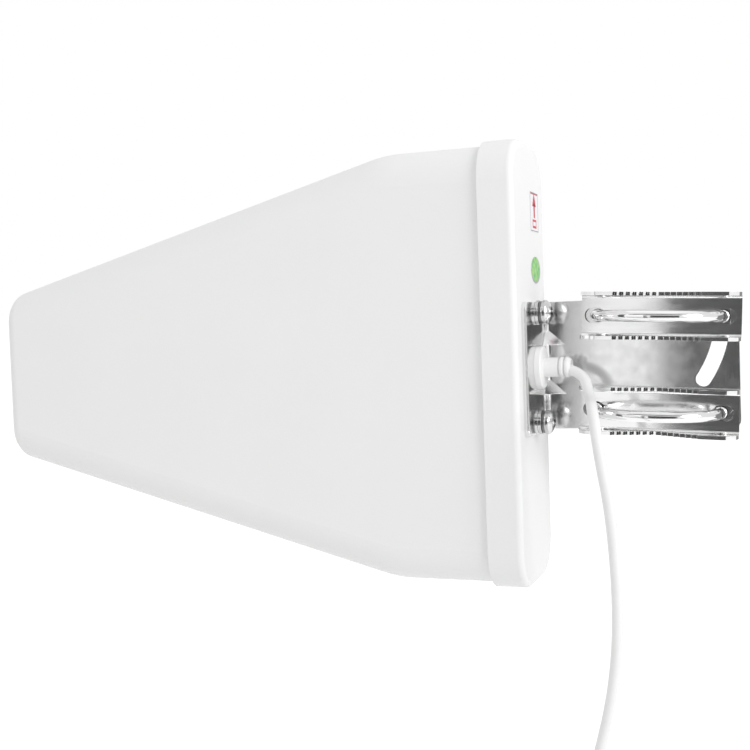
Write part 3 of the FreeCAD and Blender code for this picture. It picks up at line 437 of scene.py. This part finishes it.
paper, tree, surface = plain_finish("white label", (0.86, 0.86, 0.88, 1), 0.4)
shade_between(tree, surface, grain(tree, 200), (0.83, 0.83, 0.86, 1), (0.88, 0.88, 0.9, 1))
raise_surface(tree, surface, grain(tree, 900), 0.0001, 0.2)
softened("arrow_label", "direction_label", "antenna", paper, 0.00008)
red_ink, tree, surface = plain_finish("red ink", (0.62, 0.03, 0.06, 1), 0.4)
shade_between(tree, surface, grain(tree, 1500), (0.5, 0.02, 0.05, 1), (0.7, 0.04, 0.08, 1))
grey_ink, tree, surface = plain_finish("grey ink", (0.3, 0.27, 0.28, 1), 0.4)
shade_between(tree, surface, grain(tree, 1500), (0.22, 0.2, 0.21, 1), (0.36, 0.33, 0.34, 1))


def printed(name, piece, ink):
    """Give a flat print its thickness, set it on the cap's back face and fix it there."""
    only(piece)
    piece.name = name
    bpy.ops.object.transform_apply(location=True, rotation=True, scale=True)
    body = piece.modifiers.new("ink", "SOLIDIFY")
    body.thickness = INK_THICKNESS
    bpy.ops.object.modifier_apply(modifier=body.name)
    piece.matrix_world = on_antenna
    bpy.ops.object.transform_apply(location=True, rotation=True, scale=True)
    piece.data.materials.append(ink)
    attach(piece, "antenna")
    return piece


def print_place(up):
    """A place on the label, so far above its middle."""
    return (CAP_FACE + INK_LIFT, LABEL_MIDDLE_Y, LABEL_MIDDLE_Z + up)


UPRIGHT = (math.radians(90), 0, math.radians(90))


def bar(width, height, up):
    """A flat upright rectangle on the label."""
    bpy.ops.mesh.primitive_plane_add(size=1, location=print_place(up), rotation=UPRIGHT)
    piece = bpy.context.object
    piece.scale = (width, height, 1)
    bpy.ops.object.transform_apply(location=False, rotation=False, scale=True)
    return piece


def hollow(piece, line_width):
    """Leave only a frame of a rectangle."""
    only(piece)
    bpy.ops.object.mode_set(mode="EDIT")
    bpy.ops.mesh.select_all(action="SELECT")
    bpy.ops.mesh.inset(thickness=line_width)
    bpy.ops.mesh.delete(type="FACE")
    bpy.ops.object.mode_set(mode="OBJECT")
    return piece


border = bar(width=0.0164, height=0.0190, up=0.0)
printed("label_border", hollow(border, line_width=0.0005), grey_ink)
printed("label_head_rule", bar(width=0.0150, height=0.0006, up=0.0088), red_ink)
printed("arrow_shaft", bar(width=0.0030, height=0.0070, up=0.0006), red_ink)
bpy.ops.mesh.primitive_circle_add(vertices=3, radius=0.0046, fill_type="NGON",
                                  location=print_place(up=0.0050), rotation=UPRIGHT)
printed("arrow_head", bpy.context.object, red_ink)
mark = bar(width=0.0080, height=0.0042, up=-0.0058)
printed("label_mark", hollow(mark, line_width=0.0011), red_ink)

silver, tree, surface = plain_finish("silver foil", (0.62, 0.62, 0.64, 1), 0.3, 1.0)
tree.links.new(spread(tree, grain(tree, 700), 0.22, 0.4), surface.inputs["Roughness"])
softened("foil_sticker", "round_sticker", "antenna", silver, 0.00006)
green, tree, surface = plain_finish("green foil", (0.12, 0.62, 0.12, 1), 0.3, 0.3)
mottle = spread(tree, grain(tree, 420, 2.0), 0, 1)
shade_between(tree, surface, mottle, (0.04, 0.5, 0.16, 1), (0.5, 0.85, 0.16, 1))
raise_surface(tree, surface, grain(tree, 900), 0.0001, 0.3)
bpy.ops.mesh.primitive_circle_add(vertices=48, radius=0.5, fill_type="NGON", rotation=UPRIGHT,
                                  location=(CAP_FACE + INK_LIFT, OVAL_MIDDLE_Y, OVAL_MIDDLE_Z))
oval = bpy.context.object
oval.scale = (OVAL_WIDTH, OVAL_HEIGHT, 1)
printed("green_oval", oval, green)
oval.visible_glossy = False


# Bracket. A plate of polished stainless steel 2.5 mm thick, bent square, with two gussets
# pressed into the bend and arc slots that let it tilt.

polished, tree, surface = plain_finish("polished steel", (0.82, 0.82, 0.82, 1), 0.13, 1.0)
tree.links.new(spread(tree, grain(tree, 160), 0.1, 0.16), surface.inputs["Roughness"])
raise_surface(tree, surface, grain(tree, 22, 2.0), 0.0003, 0.06)
softened("bent_bracket", "mounting_bracket", "antenna", polished, 0.0006)


# Flange screws. Two cross recessed pan head screws with spring and flat washers hold the
# bracket to brass inserts in the cap.

HEAD_FOOT = 0.00585              # radius of the head where it meets the washer
HEAD_HEIGHT = 0.0045
RECESS_SINK = 0.0005             # from the head's top to the middle of what cuts the recess
SHANK_BITE = 0.0002              # how far the shank reaches into the head
HEAD_SEAT = -0.0228
SHANK_RADIUS = 0.003
SHANK_LENGTH = 0.0177
FLANGE_MIDDLE_Y = -0.0017
FLANGE_MIDDLE_Z = -0.0242
SCREW_RISE = 0.0265
RECESS_WIDTH = 0.0072            # across the cross at its top
RECESS_BLADE = 0.0015            # thickness of its arms
RECESS_DEPTH = 0.0034
RECESS_NARROWING = 0.45          # of its width towards its floor
ARM_NARROWING = 0.8
RECESS_LOW = 0.0012              # its walls lie above this height and within this radius
RECESS_REACH = 0.0036
WALL_TILT = 0.35
UPPER_TURN = 20                  # degrees that each cross is turned
LOWER_TURN = 62
# Rise, radius below and radius above of each step up the head's outline.
HEAD_RINGS = ((0.00025, HEAD_FOOT, 0.006), (0.0015, 0.006, 0.006), (0.00015, 0.006, 0.0059),
              (0.0006, 0.0059, 0.00537), (0.0006, 0.00537, 0.00459), (0.0006, 0.00459, 0.00354),
              (0.0004, 0.00354, 0.00253), (0.0003, 0.00253, 0.00128))

bright, tree, surface = plain_finish("bright steel", (0.6, 0.6, 0.6, 1), 0.16, 1.0)
tree.links.new(spread(tree, grain(tree, 500), 0.1, 0.22), surface.inputs["Roughness"])
raise_surface(tree, surface, grain(tree, 900), 0.0002, 0.1)

# Near-black finish for the walls of the cross recess: painted shade inside the recess.
recess_shade_paint, tree, surface = plain_finish("recess painted shade", (0.08, 0.08, 0.08, 1), 0.5, 1.0)
tree.links.new(spread(tree, grain(tree, 1500), 0.4, 0.6), surface.inputs["Roughness"])

bpy.ops.object.select_all(action="DESELECT")
bpy.ops.mesh.primitive_circle_add(vertices=64, radius=HEAD_FOOT, fill_type="NGON")
screw = bpy.context.object
bpy.ops.object.mode_set(mode="EDIT")
bpy.ops.mesh.select_all(action="SELECT")
for rise, radius_from, radius_to in HEAD_RINGS:
    bpy.ops.mesh.extrude_region_move(TRANSFORM_OT_translate={"value": (0, 0, rise)})
    ratio = radius_to / radius_from
    bpy.ops.transform.resize(value=(ratio, ratio, 1), center_override=(0, 0, 0))
bpy.ops.mesh.select_all(action="SELECT")
bpy.ops.mesh.normals_make_consistent(inside=False)
bpy.ops.object.mode_set(mode="OBJECT")
recess_middle = HEAD_HEIGHT - RECESS_SINK
bpy.ops.mesh.primitive_cube_add(size=1, location=(0, 0, recess_middle))
blade = bpy.context.object
blade.scale = (RECESS_WIDTH, RECESS_BLADE, RECESS_DEPTH)
bpy.ops.object.transform_apply(location=True, scale=True)
for vertex in blade.data.vertices:
    if vertex.co.z < recess_middle:
        vertex.co.x *= RECESS_NARROWING
        vertex.co.y *= ARM_NARROWING
cross = blade.copy()
cross.data = blade.data.copy()
scene.collection.objects.link(cross)
cross.data.transform(Matrix.Rotation(math.radians(90), 4, "Z"))
for cutter in (blade, cross):
    only(screw)
    recess = screw.modifiers.new("recess", "BOOLEAN")
    recess.operation = "DIFFERENCE"
    recess.solver = "EXACT"
    recess.object = cutter
    bpy.ops.object.modifier_apply(modifier=recess.name)
    bpy.data.objects.remove(cutter)
bpy.ops.mesh.primitive_cylinder_add(vertices=32, radius=SHANK_RADIUS, depth=SHANK_LENGTH,
                                    location=(0, 0, SHANK_BITE - SHANK_LENGTH / 2))
bpy.ops.object.transform_apply(location=True)
screw.select_set(True)
bpy.context.view_layer.objects.active = screw
bpy.ops.object.join()
bpy.ops.object.shade_smooth_by_angle(angle=math.radians(32))
screw.data.materials.append(bright)
screw.data.materials.append(recess_shade_paint)
# The recess walls take the second finish, painted shade.
for face in screw.data.polygons:
    inside = face.center.z > RECESS_LOW and face.center.to_2d().length < RECESS_REACH
    if inside and abs(face.normal.z) < WALL_TILT:
        face.material_index = 1
lay_along = Matrix.Rotation(math.radians(90), 4, "Y")
second = screw.data.copy()
for mesh, sign, turn in ((screw.data, 1, UPPER_TURN), (second, -1, LOWER_TURN)):
    place = Matrix.Translation((HEAD_SEAT, FLANGE_MIDDLE_Y, FLANGE_MIDDLE_Z + sign * SCREW_RISE))
    mesh.transform(on_antenna @ place @ lay_along @ Matrix.Rotation(math.radians(turn), 4, "Z"))
other = bpy.data.objects.new("lower_pan_head_screw", second)
scene.collection.objects.link(other)
only(screw)
other.select_set(True)
bpy.ops.object.join()
screw.name = "pan_head_screws"
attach(screw, "antenna")
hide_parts("flange_screws")
# The flange spring washers are darkened: painted shade on and between the rings.
shaded_washer_steel, tree, surface = plain_finish("spring washer painted shade", (0.2, 0.2, 0.2, 1), 0.3, 1.0)
tree.links.new(spread(tree, grain(tree, 500), 0.25, 0.4), surface.inputs["Roughness"])
softened("flange_spring_rings", "flange_spring_washers", "antenna", shaded_washer_steel,
         0.0004)
softened("flange_flat_washers", "flange_washers", "antenna", bright, 0.0002)
dress(["boom_plate_screws"], bright)


# Saddles. Two channels of bright stainless sheet, whose toothed V grips the tube.

VEE_SLOPE = Vector((0.424, 0.906, 0))
VEE_HALF_WIDTH = 0.0205
VEE_BOTTOM = 0.0138
TOOTH_DEPTH = 0.0015
ALONG_SLOPE = 0.86               # a notch face between the teeth, painted dark as shade, looks further from the V's own slope than this
LEVEL_FACE = 0.1
FRONT_FACE = -0.98

satin, tree, surface = plain_finish("satin steel", (0.86, 0.86, 0.86, 1), 0.1, 1.0)
rolled = spread(tree, grain(tree, 240, stretch=(0.2, 1, 1)), 0.07, 0.13)
tree.links.new(rolled, surface.inputs["Roughness"])
raise_surface(tree, surface, grain(tree, 60, 3.0), 0.0003, 0.06)
# Near-black finish for the notch faces between the teeth: painted shade in the notches.
notch_shade_paint, tree, surface = plain_finish("notch painted shade", (0.07, 0.07, 0.07, 1), 0.5, 1.0)
tree.links.new(spread(tree, grain(tree, 1500), 0.4, 0.65), surface.inputs["Roughness"])
raise_surface(tree, surface, grain(tree, 1500), 0.0003, 0.4)
for side in ("upper", "lower"):
    channel = softened(side + "_channel", side + "_saddle", "clamp", satin, 0.00012)
    channel.data.materials.append(notch_shade_paint)
    # Notch faces in the V take the second finish, painted shade.
    for face in channel.data.polygons:
        slope = Vector((abs(face.normal.x), abs(face.normal.y), 0)).dot(VEE_SLOPE)
        in_vee = abs(face.center.x) < VEE_HALF_WIDTH and face.center.y < VEE_BOTTOM + TOOTH_DEPTH
        on_edge = abs(face.normal.z) < LEVEL_FACE and face.normal.y > FRONT_FACE
        if in_vee and on_edge and slope < ALONG_SLOPE:
            face.material_index = 1


# U-bolts. Each is bent from polished stainless rod 5.3 mm thick, with rolled M6 threads on its
# two legs.

ROD_RADIUS = 0.00265
LEG_SPACING = 0.059
BOW_CENTRE = 0.01435
THREAD_START = 0.0155
THREAD_RUNOUT = 0.0002           # step from the plain rod to the thread's root
LEG_END = 0.056802
THREAD_CREST = 0.003
THREAD_ROOT = 0.00242
THREAD_PITCH = 0.001
FLANK = 0.4 * THREAD_PITCH
CREST_FLAT = 0.12 * THREAD_PITCH
ROOT_FLAT = 0.08 * THREAD_PITCH
TIP_SHOULDER = 0.0028
TIP_RADIUS = 0.0022
BOLT_RISE = 0.023

rod, tree, surface = plain_finish("polished rod", (0.74, 0.74, 0.74, 1), 0.08, 1.0)
tree.links.new(spread(tree, grain(tree, 300), 0.05, 0.13), surface.inputs["Roughness"])
raise_surface(tree, surface, grain(tree, 500), 0.0002, 0.1)


def draw_ring(distance, radius_from, radius_to, x, y, z):
    """Draw the selected end ring along the leg and bring it to a new radius."""
    bpy.ops.mesh.extrude_region_move(TRANSFORM_OT_translate={"value": (0, distance, 0)})
    ratio = radius_to / radius_from
    bpy.ops.transform.resize(value=(ratio, 1, ratio), center_override=(x, y + distance, z))
    return y + distance


leg_x = LEG_SPACING / 2
bpy.ops.object.select_all(action="DESELECT")
bpy.ops.mesh.primitive_torus_add(major_segments=96, minor_segments=24, major_radius=leg_x,
                                 minor_radius=ROD_RADIUS, location=(0, BOW_CENTRE, BOLT_RISE))
u_bolt = bpy.context.object
u_bolt.name = "upper_bow_bolt"
bpy.ops.object.transform_apply(location=True)
bpy.ops.object.mode_set(mode="EDIT")
bpy.ops.mesh.select_all(action="SELECT")
bpy.ops.mesh.bisect(plane_co=(0, BOW_CENTRE, 0), plane_no=(0, 1, 0), clear_outer=True)
bpy.ops.mesh.select_all(action="SELECT")
bpy.ops.mesh.bisect(plane_co=(0, 0, 0), plane_no=(1, 0, 0), clear_inner=True)
bpy.ops.mesh.select_all(action="DESELECT")
bpy.ops.object.mode_set(mode="OBJECT")
for vertex in u_bolt.data.vertices:
    vertex.select = abs(vertex.co.y - BOW_CENTRE) < 1e-5
bpy.ops.object.mode_set(mode="EDIT")
bpy.ops.mesh.select_mode(type="VERT")
y = draw_ring(THREAD_START - BOW_CENTRE, 1, 1, leg_x, BOW_CENTRE, BOLT_RISE)
y = draw_ring(THREAD_RUNOUT, ROD_RADIUS, THREAD_ROOT, leg_x, y, BOLT_RISE)
while y < LEG_END - 2 * THREAD_PITCH:
    y = draw_ring(FLANK, THREAD_ROOT, THREAD_CREST, leg_x, y, BOLT_RISE)
    y = draw_ring(CREST_FLAT, 1, 1, leg_x, y, BOLT_RISE)
    y = draw_ring(FLANK, THREAD_CREST, THREAD_ROOT, leg_x, y, BOLT_RISE)
    y = draw_ring(ROOT_FLAT, 1, 1, leg_x, y, BOLT_RISE)
y = draw_ring(FLANK, THREAD_ROOT, TIP_SHOULDER, leg_x, y, BOLT_RISE)
draw_ring(LEG_END - y, TIP_SHOULDER, TIP_RADIUS, leg_x, y, BOLT_RISE)
bpy.ops.mesh.edge_face_add()
bpy.ops.object.mode_set(mode="OBJECT")
other_half = u_bolt.modifiers.new("other leg", "MIRROR")
other_half.merge_threshold = 1e-5
bpy.ops.object.modifier_apply(modifier=other_half.name)
bpy.ops.object.mode_set(mode="EDIT")
bpy.ops.mesh.select_all(action="SELECT")
bpy.ops.mesh.normals_make_consistent(inside=False)
bpy.ops.object.mode_set(mode="OBJECT")
bpy.ops.object.shade_smooth_by_angle(angle=math.radians(30))
u_bolt.data.materials.append(rod)

lower_bolt = bpy.data.objects.new("lower_bow_bolt", u_bolt.data.copy())
scene.collection.objects.link(lower_bolt)
lower_bolt.data.transform(Matrix.Translation((0, 0, -2 * BOLT_RISE)))
for piece, side in ((u_bolt, "upper"), (lower_bolt, "lower")):
    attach(piece, side + "_u_bolt")
    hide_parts(side + "_u_bolt")


# Nuts. Each leg is drawn up behind the bracket by a flat washer, a spring washer and a nut.

softened("clamp_flat_washers", "u_bolt_washers", "clamp", bright, 0.0002)
softened("clamp_spring_rings", "u_bolt_spring_washers", "clamp", bright, 0.00025)
for node in ("upper_left_nut", "upper_right_nut", "lower_left_nut", "lower_right_nut"):
    softened("hexagon_" + node, node, node, bright, 0.00025)
